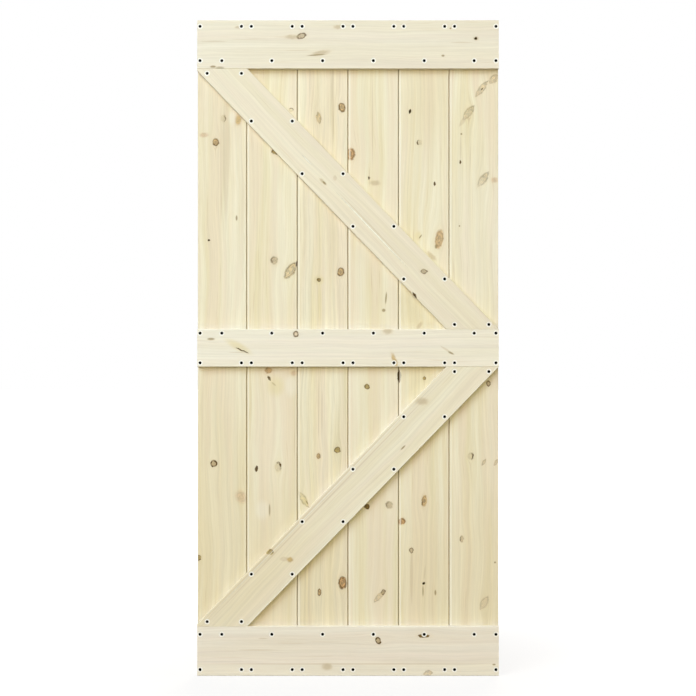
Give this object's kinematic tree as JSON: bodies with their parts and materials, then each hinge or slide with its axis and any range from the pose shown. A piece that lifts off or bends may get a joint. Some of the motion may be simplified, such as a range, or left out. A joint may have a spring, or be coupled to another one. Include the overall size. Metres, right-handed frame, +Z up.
{
  "type": "barn door leaf",
  "caption": "Flat plank barn door leaf in unfinished knotty pine, with upright boards behind rails and diagonal braces, hung from its top rail to slide along a wall.",
  "frame": {"origin": "centre of the door's width and thickness, at its foot", "axes": "+X to the right and +Z up, seen from the front, and +Y from the face frame to the back of the boards"},
  "size_m": [0.914, 0.035, 1.988],
  "materials": {
    "board_pine": "unfinished planed pine, knotty and matt",
    "frame_pine": "unfinished planed pine, paler, with few knots, matt",
    "black_screw": "black coated, dull"
  },
  "bodies": {
    "root": {"board_1": "board_pine", "board_2": "board_pine", "board_3": "board_pine", "board_4": "board_pine", "board_5": "board_pine", "board_6": "board_pine", "top_rail": "frame_pine", "middle_rail": "frame_pine", "bottom_rail": "frame_pine", "upper_brace": "frame_pine", "lower_brace": "frame_pine", "top_rail_screws": "black_screw", "middle_rail_screws": "black_screw", "bottom_rail_screws": "black_screw", "upper_brace_screws": "black_screw", "lower_brace_screws": "black_screw"}
  },
  "joints": []
}
